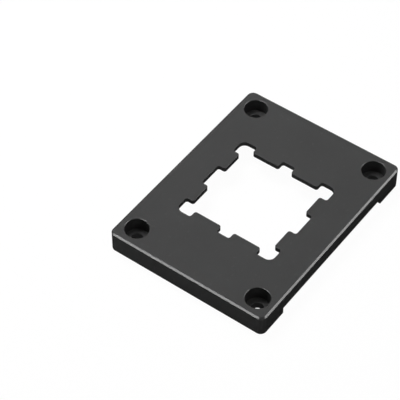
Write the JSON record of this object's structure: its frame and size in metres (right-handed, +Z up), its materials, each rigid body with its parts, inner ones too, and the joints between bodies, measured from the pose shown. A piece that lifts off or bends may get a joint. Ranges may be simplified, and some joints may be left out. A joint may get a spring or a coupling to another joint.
{
  "type": "cpu socket retention frame",
  "caption": "Flat anodised plate with a toothed window, recessed screw holes and a pocket below that clamps a processor into its board socket.",
  "frame": {"origin": "centre of the outline, on the plane of the two end bars' feet, where the frame meets the board", "axes": "+X across the plate's short way, +Y along its long way, +Z up, away from the board"},
  "size_m": [0.0544, 0.0716, 0.0071],
  "materials": {
    "anodised_plate": "black anodised over a fine bead-blasted surface"
  },
  "bodies": {
    "root": {"retention_frame": "anodised_plate"}
  },
  "joints": []
}
